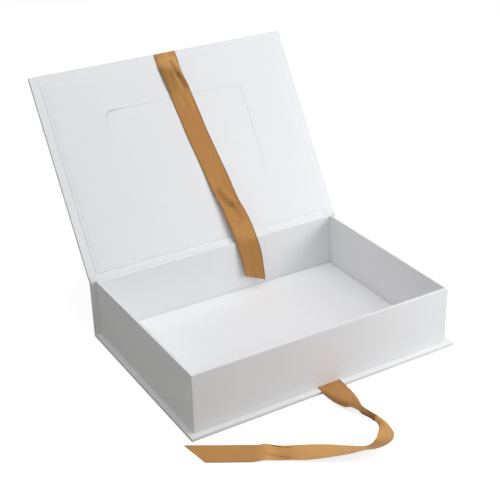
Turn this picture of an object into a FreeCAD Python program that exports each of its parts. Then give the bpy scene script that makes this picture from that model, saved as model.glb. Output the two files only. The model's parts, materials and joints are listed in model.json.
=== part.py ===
import FreeCAD, Part
import math
import os

from FreeCAD import Vector

# A book-style presentation box. A paper-covered tray is glued into a hard case of three boards, base, spine and
# lid. The lid swings on a paper hinge along the top of the spine and is drawn standing open. Two satin ribbons
# tie the box shut. Lengths are in millimetres and angles in degrees. The origin is the centre of the footprint,
# on the surface that the box stands on, with +X to the right, -Y to the front and +Z up.

# Tray
tray_width = 285.0
tray_depth = 202.0
tray_height = 60.0
tray_wall_board = 2.4
tray_bottom_board = 2.0
floor_liner_clearance = 0.3
corner_tape = 0.1
corner_tape_width = 18.0
corner_tape_margin = 4.0

# Case
case_board = 3.0
lip_side = 6.0
lip_front = 7.0
paper = 0.2
turn_in = 15.0
turn_in_clearance = 0.2
edge_round = 0.4

# Lid and hinge. The hinge axis lies hinge_depth inside the lid and hinge_setback inside the back of the spine.
lid_open_angle = 122.4
lid_rest_gap = 0.6
lid_overhang = 1.0
hinge_depth = 1.0
hinge_setback = 0.54
hinge_gap = 4.0
hinge_wrap_rise = 0.4
lining_rise = 0.6
lining_tuck = 15.0
lining_flange = 10.0

# Sheet pasted inside the lid, with a die-cut opening for a photo, and the sheet behind the opening
liner_card = 0.3
liner_inset = 9.0
liner_hinge_inset = 0.6
pocket_width = 162.0
pocket_height = 110.0
pocket_corner = 8.0
pocket_margin = 10.0

# Ribbons
ribbon_width = 25.0
ribbon_thickness = 0.3
ribbon_clearance = 0.05
base_ribbon_tuck = 25.0
base_ribbon_offset = 1.6
base_ribbon_length = 268.0
base_ribbon_slant = 10.3
lid_ribbon_offset = 4.0
lid_ribbon_slant = 7.5
lid_ribbon_backing_gap = 5.43
ribbon_fold_radius = 0.35
ribbon_fold_margin = 0.6
ribbon_slant_fade = 40.0
ribbon_stand_off = 7.0
ribbon_wall_gap = 5.0
route_spacing = 4.0
strips_across = 4

# Route of the base ribbon past the lip, in shares of its free length: to the right, to the front and up from the
# table. Then the direction from its left edge to its right edge, the half angle that its section curls by, and the
# share of its width that is left where it is gathered.
base_ribbon_route_shares = [
    (-0.001, 0.078, 0.014, (1, 0, 0), -6, 0.96),
    (-0.002, 0.115, 0.016, (1, 0, -0.04), -12, 0.88),
    (-0.001, 0.147, 0.017, (0.99, 0, -0.14), -16, 0.72),
    (0.001, 0.171, 0.020, (0.96, 0, -0.27), -20, 0.54),
    (0.003, 0.193, 0.021, (0.95, 0, -0.3), -20, 0.45),
    (0.005, 0.221, 0.023, (0.97, 0, -0.2), -20, 0.37),
    (0.007, 0.249, 0.025, (1, 0, 0), -20, 0.27),
    (0.008, 0.275, 0.026, (0.7, 0, 0.6), -15, 0.22),
    (0.005, 0.300, 0.027, (0.6, -0.1, 0.75), -10, 0.28),
    (-0.003, 0.326, 0.028, (0.86, -0.34, 0.4), -5, 0.40),
    (-0.015, 0.349, 0.028, (0.84, -0.5, 0.25), 0, 0.55),
    (-0.028, 0.368, 0.028, (0.68, -0.66, 0.32), 4, 0.66),
    (-0.045, 0.381, 0.027, (0.4, -0.82, 0.42), 6, 0.79),
    (-0.068, 0.389, 0.026, (0.05, -0.87, 0.49), 5, 0.92),
    (-0.096, 0.387, 0.025, (-0.15, -0.85, 0.5), 0, 1),
    (-0.127, 0.372, 0.023, (-0.2, -0.85, 0.48), 0, 1),
    (-0.163, 0.351, 0.018, (-0.3, -0.88, 0.37), 0, 1),
    (-0.219, 0.313, 0.012, (-0.4, -0.9, 0.2), 0, 1),
    (-0.277, 0.275, 0.007, (-0.5, -0.86, 0.05), -5, 0.92),
    (-0.335, 0.237, 0.005, (-0.53, -0.85, 0.03), -12, 0.86),
    (-0.406, 0.196, 0.005, (-0.53, -0.85, 0), -8, 0.95),
    (-0.491, 0.143, 0.002, (-0.53, -0.85, 0), 0, 0.97),
    (-0.584, 0.085, 0.002, (-0.53, -0.85, 0), 0, 0.97),
]

# Route of the lid ribbon over the lid's inner face, after its fold: to the right and up from the hinge in shares of
# the lid's reach, and off the face in shares of the stand-off. Then the direction across, in the lid's own
# directions of right, up and off the face, the half angle of the curl and the gathered share.
lid_ribbon_route_shares = [
    (0.019, 0.968, 0.07, (1, 0.03, 0), 0, 1),
    (0.018, 0.949, 0.22, (1, 0.05, 0), -5, 1),
    (0.017, 0.925, 0.42, (1, 0.06, 0), -12, 0.98),
    (0.019, 0.893, 0.54, (1, 0.10, 0), -15, 0.94),
    (0.024, 0.855, 0.52, (1, 0.14, 0), 0, 0.90),
    (0.032, 0.813, 0.37, (1, 0.16, 0), 10, 0.95),
    (0.040, 0.770, 0.17, (1, 0.15, 0), 5, 0.98),
    (0.046, 0.723, 0.05, (1, 0.14, 0), 0, 1),
    (0.055, 0.644, 0.035, (1, 0.13, 0), 0, 1),
    (0.064, 0.559, 0.035, (1, 0.14, 0), 0, 1),
    (0.077, 0.475, 0.04, (1, 0.16, 0), 0, 1),
    (0.090, 0.385, 0.08, (1, 0.16, 0), 0, 1),
    (0.101, 0.296, 0.23, (1, 0.16, 0), 8, 1),
    (0.108, 0.221, 0.40, (1, 0.16, 0), 22, 0.96),
    (0.116, 0.169, 0.57, (1, 0.18, 0.02), 25, 0.92),
    (0.125, 0.113, 0.74, (1, 0.20, 0), 8, 1),
    (0.133, 0.056, 0.94, (1, 0.20, 0), 0, 1),
]

# The same ribbon where it hangs inside the tray: to the right in shares of the tray's width, in front of the back
# wall in shares of the wall gap, and up from the floor in shares of the tray's inner height.
hanging_ribbon_route_shares = [
    (0.107, 0.36, 0.995, (1, 0, 0.20), 0, 1),
    (0.123, 0.76, 0.639, (1, 0, 0.13), 5, 1),
    (0.134, 0.96, 0.200, (1, 0, 0.08), 10, 0.95),
]

# The fold of the lid ribbon: angles of its half turn in degrees, and where its two layers run on, in fold radii
fold_turn = (-90, -60, -30, 0, 30, 60, 90)
fold_run_shares = (12, 6, 3, 1.5)
tuck_shares = (1, 0.5, 0)

# Heights, from the table up
glue_line = ribbon_thickness + 2 * ribbon_clearance
base_top = case_board + 2 * paper
tray_foot = base_top + glue_line
tray_rim = tray_foot + tray_height
wall_foot = tray_foot + paper
wall_top = tray_rim - paper
bottom_board_top = wall_foot + tray_bottom_board
tray_floor = bottom_board_top + paper

# Places from left to right and from front to back
tray_half = tray_width / 2
case_half = tray_half + lip_side
spine_thickness = case_board + 2 * paper
case_depth = lip_front + tray_depth + spine_thickness
case_front = -case_depth / 2
spine_back = case_depth / 2
tray_front = case_front + lip_front
tray_back = tray_front + tray_depth
wall_total = tray_wall_board + 2 * paper
board_half = tray_half - paper
board_front = tray_front + paper
board_back = tray_back - paper
inner_half = tray_half - wall_total
inner_front = tray_front + wall_total
inner_back = tray_back - wall_total

# The lid as it lies when closed: its faces from the inside out, and its hinge
lid_face = tray_rim + lid_rest_gap
lid_turn_in_face = lid_face + liner_card + glue_line
lid_board_face = lid_turn_in_face + paper
lid_board_back = lid_board_face + case_board
lid_back = lid_board_back + paper
hinge_y = spine_back - hinge_setback
hinge_z = lid_face + hinge_depth
lid_front = case_front - lid_overhang
lid_rear = hinge_y - hinge_gap
lid_reach = hinge_y - lid_front
lid_middle = (lid_front + lid_rear) / 2
liner_front = lid_front + liner_inset
backing_height = pocket_height + 2 * pocket_margin
lid_ribbon_tuck = lid_middle - backing_height / 2 - lid_ribbon_backing_gap - liner_front
hinge_point = Vector(0, hinge_y, hinge_z)
x_axis = Vector(1, 0, 0)


def block(left, right, front, back, low, high):
    """A box between six planes."""
    return Part.makeBox(right - left, back - front, high - low, Vector(left, front, low))


def round_edges(shape, wanted):
    """Rounds the edges of which wanted says yes, given the middle of each edge."""
    edges = [edge for edge in shape.Edges if wanted(edge.CenterOfMass)]
    return shape.makeFillet(edge_round, edges)


def same(a, b):
    """Whether two places are the same, to well under the paper's thickness."""
    return abs(a - b) < paper / 2


def opened(shape):
    """A copy of a lid piece, swung from closed to where the lid stands open."""
    copy = shape.copy()
    copy.rotate(hinge_point, x_axis, -lid_open_angle)
    return copy


def opened_direction(direction):
    """A direction of the closed lid, as it points when the lid stands open."""
    return FreeCAD.Rotation(x_axis, -lid_open_angle).multVec(direction)


def opened_point(point):
    """A point of the closed lid, where it is when the lid stands open."""
    return hinge_point + opened_direction(point - hinge_point)


def rounded_rectangle(width, height, corner, middle_y, level):
    """A face with four straight sides joined by quarter arcs."""
    x, y = width / 2, height / 2
    turn = corner * (1 - math.sqrt(0.5))
    points = []
    for side_x, side_y in ((1, 1), (-1, 1), (-1, -1), (1, -1)):
        on_y = Vector(side_x * (x - corner), middle_y + side_y * y, level)
        on_x = Vector(side_x * x, middle_y + side_y * (y - corner), level)
        middle = Vector(side_x * (x - turn), middle_y + side_y * (y - turn), level)
        order = (on_x, middle, on_y) if side_x * side_y > 0 else (on_y, middle, on_x)
        points.append(order)
    edges = []
    for place, (start, middle, end) in enumerate(points):
        edges.append(Part.Arc(start, middle, end).toShape())
        edges.append(Part.LineSegment(end, points[(place + 1) % len(points)][0]).toShape())
    return Part.Face(Part.Wire(edges))


def risen_arc(start, end, rise):
    """An arc from start to end, across X, that rises from the line between them."""
    side = x_axis.cross((end - start).normalize())
    return Part.Arc(start, (start + end) * 0.5 + side * rise, end).toShape()


def bridge_profile(start_inner, start_outer, end_inner, end_outer, inner_rise, outer_rise):
    """The face between two risen arcs, across X."""
    edges = [
        risen_arc(start_inner, end_inner, inner_rise),
        Part.LineSegment(end_inner, end_outer).toShape(),
        risen_arc(start_outer, end_outer, outer_rise),
        Part.LineSegment(start_inner, start_outer).toShape(),
    ]
    return Part.Face(Part.Wire(Part.__sortEdges__(edges)))


def carried_across(profile, half):
    """A profile across X carried to the left and to the right by half a width."""
    moved = profile.copy()
    moved.translate(Vector(-half, 0, 0))
    return moved.extrude(Vector(2 * half, 0, 0))


def smooth(rows, spacing):
    """Rows of numbers filled in by a Catmull-Rom spline, so that they lie no farther apart than the spacing. Each row
    starts with a place, and a span's time is the root of its length, so that the curve doesn't overshoot where the
    places come close."""
    before = [2 * a - b for a, b in zip(rows[0], rows[1])]
    after = [2 * a - b for a, b in zip(rows[-1], rows[-2])]
    padded = [before, *rows, after]
    times = [math.sqrt(math.dist(a[:3], b[:3])) for a, b in zip(padded, padded[1:])]
    filled = []
    for place in range(len(rows) - 1):
        lead, span, follow = times[place:place + 3]
        steps = math.ceil(span ** 2 / spacing)
        for step in range(steps):
            t = step / steps
            row = []
            for a, b, c, d in zip(*padded[place:place + 4]):
                leave = c - b + span * ((b - a) / lead - (c - a) / (lead + span))
                arrive = c - b + span * ((d - c) / follow - (d - b) / (span + follow))
                bend = 3 * (c - b) - 2 * leave - arrive
                row.append(b + leave * t + bend * t ** 2 + (leave + arrive - 2 * (c - b)) * t ** 3)
            filled.append(row)
    return filled + [list(rows[-1])]


def ribbon(stations, slant):
    """A ribbon lofted along its route. Each station is a centre, a direction across, a curl and a gather; the section
    there is an arc as long as the ribbon is wide, drawn in straight strips. Where the ribbon is gathered, the section
    is narrower and as much thicker. The far end is cut on a slant."""
    rows = smooth([[*centre, *across, curl, gather] for centre, across, curl, gather in stations], route_spacing)
    centres = [Vector(*row[:3]) for row in rows]
    run = [0.0]
    for a, b in zip(centres, centres[1:]):
        run.append(run[-1] + (b - a).Length)
    shares = [2 * strip / strips_across - 1 for strip in range(strips_across + 1)]
    sections = []
    for place, row in enumerate(rows):
        ahead = centres[min(place + 1, len(rows) - 1)]
        behind = centres[max(place - 1, 0)]
        along = (ahead - behind).normalize()
        across = Vector(*row[3:6])
        across = (across - along * across.dot(along)).normalize()
        up = along.cross(across)
        curl = math.radians(row[6])
        gather = row[7]
        half_thickness = ribbon_thickness / gather / 2
        near_end = max(0.0, 1 - (run[-1] - run[place]) / ribbon_slant_fade)
        leaning = across + along * (2 * slant * near_end ** 2 / ribbon_width)
        upper, lower = [], []
        for share in shares:
            angle = curl * share
            arc = ribbon_width / 2 / curl if abs(curl) > math.radians(0.5) else 0
            flat = arc * math.sin(angle) if arc else ribbon_width / 2 * share
            rise = arc * (1 - math.cos(angle)) - arc * (1 - math.cos(curl)) / 2
            for side, height in ((upper, half_thickness), (lower, -half_thickness)):
                aside = leaning * (flat * gather - height * math.sin(angle))
                side.append(centres[place] + aside + up * (rise + height * math.cos(angle)))
        outline = upper + lower[::-1]
        sections.append(Part.makePolygon(outline + outline[:1]))
    return Part.makeLoft(sections, True, True)


def case_panel_wrap(panel, board, window, open_side):
    """The paper round a case board: a skin with rounded edges, open where the sheet runs on over a fold, and with
    the middle of its inner side left out between the turn-ins."""
    skin = round_edges(panel, lambda middle: not open_side(middle))
    return skin.cut(board).cut(window)


def make_base():
    """The base board, its paper and its turn-ins, which show as the lip round the tray."""
    board = block(paper - case_half, case_half - paper, case_front + paper, tray_back, paper, base_top - paper)
    panel = block(-case_half, case_half, case_front, tray_back, 0, base_top)
    window = block(
        turn_in - case_half, case_half - turn_in, case_front + turn_in, tray_back, base_top - paper, base_top
    )
    wrap = case_panel_wrap(panel, board, window, lambda middle: same(middle.y, tray_back))
    return {"base_board": board, "base_wrap": wrap}


def make_spine():
    """The upright spine board, glued to the back of the tray, and its paper."""
    spine_front = tray_back + paper
    board = block(paper - case_half, case_half - paper, spine_front, spine_back - paper, paper, tray_rim)
    panel = block(-case_half, case_half, tray_back, spine_back, 0, tray_rim)
    window = block(turn_in - case_half, case_half - turn_in, tray_back, spine_front, paper, tray_rim)
    wrap = case_panel_wrap(panel, board, window, lambda middle: same(middle.z, tray_rim))
    return {"spine_board": board, "spine_wrap": wrap}


def make_lid():
    """The lid board, its paper with turn-ins, the liner with its opening, and the sheet behind the opening."""
    board = block(paper - case_half, case_half - paper, lid_front + paper, lid_rear, lid_board_face, lid_board_back)
    panel = block(-case_half, case_half, lid_front, lid_rear, lid_turn_in_face, lid_back)
    window = block(
        turn_in - case_half, case_half - turn_in, lid_front + turn_in, lid_rear, lid_turn_in_face, lid_board_face
    )
    wrap = case_panel_wrap(panel, board, window, lambda middle: same(middle.y, lid_rear))
    liner = block(
        liner_inset - case_half, case_half - liner_inset, liner_front, lid_rear - liner_hinge_inset,
        lid_face, lid_face + liner_card
    )
    opening = rounded_rectangle(pocket_width, pocket_height, pocket_corner, lid_middle, lid_face)
    liner = liner.cut(opening.extrude(Vector(0, 0, liner_card)))
    backing_level = lid_face + liner_card
    backing = rounded_rectangle(
        pocket_width + 2 * pocket_margin, backing_height, pocket_corner, lid_middle, backing_level
    ).extrude(Vector(0, 0, paper))
    closed = {"lid_board": board, "lid_wrap": wrap, "lid_liner": liner, "photo_pocket_backing": backing}
    return {name: opened(shape) for name, shape in closed.items()}


def make_hinge():
    """The paper that bridges spine and lid: the wrap outside, folded in round each end of the gap, and a lining strip
    inside, between the folded ends."""
    spine_corners = [Vector(0, y, tray_rim) for y in (tray_back, tray_back + paper, spine_back - paper, spine_back)]
    lid_levels = (lid_turn_in_face, lid_board_face, lid_board_back, lid_back)
    lid_corners = [opened_point(Vector(0, lid_rear, level)) for level in lid_levels]
    inner_layer = bridge_profile(*spine_corners[:2], *lid_corners[:2], lining_rise, lining_rise)
    hollow = bridge_profile(*spine_corners[1:3], *lid_corners[1:3], lining_rise, hinge_wrap_rise)
    whole = bridge_profile(
        spine_corners[0], spine_corners[-1], lid_corners[0], lid_corners[-1], lining_rise, hinge_wrap_rise
    )
    wrap = carried_across(whole, case_half).cut([
        carried_across(hollow, case_half - paper),
        carried_across(inner_layer, case_half - turn_in),
    ])
    lining_half = case_half - turn_in - turn_in_clearance
    tuck = block(-lining_half, lining_half, tray_back, tray_back + paper, tray_rim - lining_tuck, tray_rim)
    flange = opened(block(
        -lining_half, lining_half, lid_rear - lining_flange, lid_rear, lid_turn_in_face, lid_board_face
    ))
    lining = tuck.fuse([carried_across(inner_layer, lining_half), flange]).removeSplitter()
    return {"hinge_wrap": wrap, "hinge_lining": lining}


def make_corner_tapes():
    """Four paper tapes folded round the upright corners of the wall boards, pressed flush into the board."""
    leg, thin = corner_tape_width, corner_tape
    low = wall_foot + corner_tape_margin
    height = wall_top - corner_tape_margin - low
    outline = ((0, 0), (leg, 0), (leg, thin), (thin, thin), (thin, leg), (0, leg))
    tapes = []
    for corner_x, inward_x in ((-board_half, 1), (board_half, -1)):
        for corner_y, inward_y in ((board_front, 1), (board_back, -1)):
            points = [Vector(corner_x + inward_x * x, corner_y + inward_y * y, low) for x, y in outline]
            face = Part.Face(Part.makePolygon(points + points[:1]))
            tapes.append(face.extrude(Vector(0, 0, height)))
    return tapes


def make_tray():
    """Wall and bottom boards, the tapes at their corners, the paper over them and the liner on the floor."""
    side_front = board_front + tray_wall_board
    side_back = board_back - tray_wall_board
    side_half = board_half - tray_wall_board
    boards = {
        "tray_front_wall": block(-board_half, board_half, board_front, side_front, wall_foot, wall_top),
        "tray_back_wall": block(-board_half, board_half, side_back, board_back, wall_foot, wall_top),
        "tray_left_wall": block(-board_half, -side_half, side_front, side_back, wall_foot, wall_top),
        "tray_right_wall": block(side_half, board_half, side_front, side_back, wall_foot, wall_top),
        "tray_bottom_board": block(-side_half, side_half, side_front, side_back, wall_foot, bottom_board_top),
    }
    outside = block(-tray_half, tray_half, tray_front, tray_back, tray_foot, tray_rim)
    cavity = block(-inner_half, inner_half, inner_front, inner_back, bottom_board_top, tray_rim)
    shell = outside.cut(cavity)

    def at_rim_or_corner(middle):
        upright = same(abs(middle.x), tray_half) and (same(middle.y, tray_front) or same(middle.y, tray_back))
        return upright or same(middle.z, tray_rim)

    shell = round_edges(shell, at_rim_or_corner)
    underside = block(
        turn_in - tray_half, tray_half - turn_in, tray_front + turn_in, tray_back - turn_in, tray_foot, wall_foot
    )
    wrap = shell.cut(list(boards.values()) + [underside])
    clear_half = inner_half - floor_liner_clearance
    liner = block(
        -clear_half, clear_half, inner_front + floor_liner_clearance, inner_back - floor_liner_clearance,
        bottom_board_top, tray_floor
    )
    tapes = make_corner_tapes()
    for name in boards:
        boards[name] = boards[name].cut(tapes)
    pieces = dict(boards)
    pieces["tray_corner_tapes"] = Part.makeCompound(tapes)
    pieces["tray_wrap"] = wrap
    pieces["tray_floor_liner"] = liner
    return pieces


def make_base_ribbon():
    """The ribbon glued between base and tray, which lies over the lip and along the table."""
    flat = (1, 0, 0)
    level = base_top + glue_line / 2
    stations = [
        (Vector(base_ribbon_offset, y, level), flat, 0, 1)
        for y in (tray_front + base_ribbon_tuck, tray_front, case_front)
    ]
    for right, forward, rise, *section in base_ribbon_route_shares:
        centre = Vector(
            base_ribbon_offset + right * base_ribbon_length,
            tray_front - forward * base_ribbon_length,
            rise * base_ribbon_length,
        )
        stations.append((centre, *section))
    return ribbon(stations, -base_ribbon_slant)


def make_lid_ribbon():
    """The ribbon glued under the liner in front of the backing sheet, which is folded back at the lid's front edge,
    lies down along the lid and hangs into the tray."""
    def on_lid(right, up, off):
        return opened_point(Vector(right, hinge_y - up, lid_face - off))

    def lid_direction(across):
        right, up, off = across
        return opened_direction(Vector(right, -up, -off))

    glued_level = -liner_card - glue_line / 2
    exit_up = hinge_y - liner_front
    fold_up = lid_reach - ribbon_fold_margin - ribbon_fold_radius
    fold_level = glued_level + ribbon_fold_radius
    places = [(exit_up - share * lid_ribbon_tuck, glued_level) for share in tuck_shares]
    places += [(fold_up - share * ribbon_fold_radius, glued_level) for share in fold_run_shares]
    for turn in fold_turn:
        angle = math.radians(turn)
        places.append((
            fold_up + ribbon_fold_radius * math.cos(angle),
            fold_level + ribbon_fold_radius * math.sin(angle),
        ))
    places += [
        (fold_up - share * ribbon_fold_radius, fold_level + ribbon_fold_radius) for share in fold_run_shares[::-1]
    ]
    flat = lid_direction((1, 0, 0))
    stations = [(on_lid(lid_ribbon_offset, up, off), flat, 0, 1) for up, off in places]
    for right, up, off, across, *section in lid_ribbon_route_shares:
        centre = on_lid(right * lid_reach, up * lid_reach, off * ribbon_stand_off)
        stations.append((centre, lid_direction(across), *section))
    for right, gap, up, *section in hanging_ribbon_route_shares:
        centre = Vector(
            right * tray_width,
            inner_back - gap * ribbon_wall_gap,
            tray_floor + up * (tray_rim - tray_floor),
        )
        stations.append((centre, *section))
    return ribbon(stations, lid_ribbon_slant)


pieces = {}
pieces.update(make_base())
pieces.update(make_spine())
pieces.update(make_lid())
pieces.update(make_hinge())
pieces.update(make_tray())
pieces["base_ribbon"] = make_base_ribbon()
pieces["lid_ribbon"] = make_lid_ribbon()

os.makedirs("parts", exist_ok=True)
for name, shape in pieces.items():
    shape.exportStep(f"parts/{name}.step")
    box = shape.BoundBox
    print(f"{name}: {len(shape.Solids)} solid, {shape.Volume:.1f} mm3, valid {shape.isValid()},",
          f"z {box.ZMin:.2f} to {box.ZMax:.2f}")
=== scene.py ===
# %% [markdown]
# A keepsake box that opens like a book. A paper-covered tray is glued into a hard case of three boards,
# and the lid swings on a paper hinge. Two satin ribbons tie it shut. The boards and most papers come from
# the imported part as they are, and this lesson gives them their finish. The thin pieces that bend or lift
# are made here as new surfaces: the two hinge papers, the card inside the lid and the two ribbons.

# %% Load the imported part
import json
import math

import bpy
import numpy as np
from mathutils import Matrix, Vector


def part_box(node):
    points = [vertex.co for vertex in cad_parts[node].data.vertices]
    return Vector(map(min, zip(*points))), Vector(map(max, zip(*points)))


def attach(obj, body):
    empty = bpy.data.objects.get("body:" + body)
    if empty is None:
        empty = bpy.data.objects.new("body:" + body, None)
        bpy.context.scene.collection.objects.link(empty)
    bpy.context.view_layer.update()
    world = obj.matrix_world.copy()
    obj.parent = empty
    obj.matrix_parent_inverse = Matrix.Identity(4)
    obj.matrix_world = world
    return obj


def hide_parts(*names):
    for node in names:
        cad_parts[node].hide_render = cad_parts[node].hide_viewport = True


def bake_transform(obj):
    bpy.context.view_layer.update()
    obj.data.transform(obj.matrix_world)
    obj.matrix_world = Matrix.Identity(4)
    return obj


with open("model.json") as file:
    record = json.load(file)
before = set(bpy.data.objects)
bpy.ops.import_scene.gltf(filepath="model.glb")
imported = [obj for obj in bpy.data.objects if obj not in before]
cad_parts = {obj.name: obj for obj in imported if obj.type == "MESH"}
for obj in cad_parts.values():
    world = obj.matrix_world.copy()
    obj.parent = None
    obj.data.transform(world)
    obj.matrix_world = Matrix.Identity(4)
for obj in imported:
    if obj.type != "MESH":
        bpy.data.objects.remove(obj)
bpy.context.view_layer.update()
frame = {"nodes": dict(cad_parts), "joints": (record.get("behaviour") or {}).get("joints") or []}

nodes = frame["nodes"]

# %% [markdown]
# The camera stands where the photographer stood. Its place, aim and lens were found once by fitting a
# camera to the straight edges of the box. It could be set by eye, but edges that run to the same
# vanishing points as in the photo need the fit. It is written as an eye point and three angles, which are
# easy to read and change.

# %% Camera
PHOTO_PIXELS = 500
FOCAL_PIXELS = 1108.8
SENSOR_WIDTH = 36.0
EYE = Vector((-0.4992, -0.8192, 0.5961))
AZIMUTH = math.radians(-30.17)
ELEVATION = math.radians(27.163)
ROLL = math.radians(-1.416)


def look_direction(azimuth, elevation):
    """Unit vector from the object back towards the camera, from its compass and height angles."""
    flat = math.cos(elevation)
    return Vector((math.sin(azimuth) * flat, -math.cos(azimuth) * flat, math.sin(elevation)))


camera_data = bpy.data.cameras.new("camera")
camera_data.sensor_width = SENSOR_WIDTH
camera_data.lens = FOCAL_PIXELS * SENSOR_WIDTH / PHOTO_PIXELS
camera_data.clip_start = 0.01
camera = bpy.data.objects.new("camera", camera_data)
bpy.context.scene.collection.objects.link(camera)
upright = (-look_direction(AZIMUTH, ELEVATION)).to_track_quat("-Z", "Y").to_matrix()
camera.matrix_world = Matrix.Translation(EYE) @ (upright @ Matrix.Rotation(ROLL, 3, "Z")).to_4x4()
bpy.context.scene.camera = camera
print("lens:", round(camera_data.lens, 2), "mm")

# %% [markdown]
# A material is a small network of nodes. One network is easily drawn by hand in the editor, but ten are
# not, so a few helpers write them. The first three add a node and set its inputs. The next give a sum, a
# ramp, a noise or a blend of two colours in one line each. The last two start a material and a group.

# %% Node helpers
NUMBER = "NodeSocketFloat"
VECTOR = "NodeSocketVector"


def find_input(node, name):
    """The node's input by its name, with _ for a space, or by its number, as i0, i1 and so on."""
    if name[0] == "i" and name[1:].isdigit():
        return node.inputs[int(name[1:])]
    return node.inputs[name.replace("_", " ")]


def set_inputs(tree, node, **inputs):
    """Sets each named input of the node to a value, or joins it to a socket."""
    for name, value in inputs.items():
        if isinstance(value, bpy.types.NodeSocket):
            tree.links.new(value, find_input(node, name))
        else:
            find_input(node, name).default_value = value


def add_node(tree, kind, settings=None, **inputs):
    """A new node in the tree, with its settings made and its inputs set."""
    node = tree.nodes.new(kind)
    for name, value in (settings or {}).items():
        setattr(node, name, value)
    set_inputs(tree, node, **inputs)
    return node


def calculate(tree, operation, first, second=0.0, third=0.0):
    """The result of one sum on numbers or sockets."""
    node = add_node(tree, "ShaderNodeMath", {"operation": operation}, i0=first, i1=second, i2=third)
    return node.outputs[0]


def ramp(tree, value, from_low, from_high, to_low=0.0, to_high=1.0, kind="SMOOTHSTEP"):
    """The value carried from one range to another, eased or straight, and held at both ends."""
    return add_node(
        tree, "ShaderNodeMapRange", {"interpolation_type": kind}, Value=value,
        From_Min=from_low, From_Max=from_high, To_Min=to_low, To_Max=to_high
    ).outputs[0]


def noise(tree, place, scale, detail, roughness=0.5):
    """A smooth random value over the places, with finer layers added by the detail and the roughness."""
    return add_node(
        tree, "ShaderNodeTexNoise", Vector=place, Scale=scale, Detail=detail, Roughness=roughness
    ).outputs["Fac"]


def mix_colours(tree, share, first, second):
    """The colour by a share from the first to the second, each a socket or red, green and blue."""
    ends = [end if isinstance(end, bpy.types.NodeSocket) else (*end, 1.0) for end in (first, second)]
    return add_node(
        tree, "ShaderNodeMix", {"data_type": "RGBA"}, Factor=share, i6=ends[0], i7=ends[1]
    ).outputs[2]


def new_material(name, **principled_values):
    """A material with one Principled shader. Returns it, its tree and the shader."""
    material = bpy.data.materials.new(name)
    material.use_nodes = True
    tree = material.node_tree
    shader = tree.nodes["Principled BSDF"]
    set_inputs(tree, shader, **principled_values)
    return material, tree, shader


def new_group(name, inputs, outputs):
    """An empty shader node group with named sockets. Returns it and its two end nodes."""
    group = bpy.data.node_groups.new(name, "ShaderNodeTree")
    for title, kind in inputs.items():
        group.interface.new_socket(title, in_out="INPUT", socket_type=kind)
    for title, kind in outputs.items():
        group.interface.new_socket(title, in_out="OUTPUT", socket_type=kind)
    return group, group.nodes.new("NodeGroupInput"), group.nodes.new("NodeGroupOutput")


print("node helpers ready")

# %% [markdown]
# The box was photographed under soft light from above and from the right. Square area lamps give that,
# because their size sets how soft each shadow is. Two hang overhead, three smaller ones stand near the
# box to the right and in front, and a weak warm one fills the left, which stays the shaded side.

# %% Lamps
BOX_MIDDLE = Vector((0.0, 0.0, 0.06))
WHITE_LIGHT = (1.0, 1.0, 1.0)
WARM_LIGHT = (1.0, 0.95, 0.6)


def soft_box(name, place, size, power, colour):
    """A square lamp at a place, turned towards the middle of the box."""
    data = bpy.data.lights.new(name, "AREA")
    data.shape = "SQUARE"
    data.size = size
    data.energy = power
    data.color = colour
    lamp = bpy.data.objects.new(name, data)
    lamp.visible_camera = False
    lamp.location = place
    lamp.rotation_mode = "QUATERNION"
    lamp.rotation_quaternion = (BOX_MIDDLE - Vector(place)).to_track_quat("-Z", "Y")
    bpy.context.scene.collection.objects.link(lamp)


lamps = [
    ("lamp_overhead_left", (-0.3, -0.1, 1.6), 1.2, 7.5, WHITE_LIGHT),
    ("lamp_overhead_right", (0.5, -0.2, 1.5), 1.0, 6.7, WHITE_LIGHT),
    ("lamp_right_near", (0.6, -0.35, 0.4), 0.3, 1.15, WHITE_LIGHT),
    ("lamp_front", (0.5, -0.8, 0.4), 0.4, 0.7, WHITE_LIGHT),
    ("lamp_front_near", (0.4, -0.45, 0.2), 0.25, 0.85, WHITE_LIGHT),
    ("lamp_warm_fill", (-1.2, -0.3, 0.3), 0.6, 0.4, WARM_LIGHT),
]
for lamp_values in lamps:
    soft_box(*lamp_values)
print("lamps:", len(lamps))

# %% [markdown]
# The rest of the studio is a white sky. The camera and any reflection see it at full white, but it lights
# the box at less than a quarter of that, so the lamps still shape the box. A light path node tells the
# two apart.

# %% Sky
AMBIENT = 0.22
world = bpy.data.worlds.new("studio")
bpy.context.scene.world = world
world.use_nodes = True
sky = world.node_tree
path = add_node(sky, "ShaderNodeLightPath")
seen = path.outputs["Is Camera Ray"]
for ray in ("Is Glossy Ray", "Is Transmission Ray"):
    seen = calculate(sky, "MAXIMUM", seen, path.outputs[ray])
strength = calculate(sky, "MULTIPLY_ADD", seen, 1.0 - AMBIENT, AMBIENT)
set_inputs(sky, sky.nodes["Background"], Color=(1.0, 1.0, 1.0, 1.0), Strength=strength)
bpy.context.scene.view_settings.view_transform = "Standard"
print("sky lights the box at", AMBIENT)

# %% [markdown]
# The box stands on a white table. More lamp light would make it white too, but would wash out the box.
# Instead the table has a glow of its own that only the camera sees, and it still takes the shadow.

# %% Table
TABLE_HALF = 6.0
TABLE_DROP = 0.0002
TABLE_GLOW = 0.78
table_corners = np.array([(-1, -1), (1, -1), (1, 1), (-1, 1)]) * TABLE_HALF
table_mesh = bpy.data.meshes.new("table_top")
table_points = np.column_stack([table_corners, np.full(4, -TABLE_DROP)])
table_mesh.from_pydata(table_points.tolist(), [], [(0, 1, 2, 3)])
table = bpy.data.objects.new("table_top", table_mesh)
bpy.context.scene.collection.objects.link(table)

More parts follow.
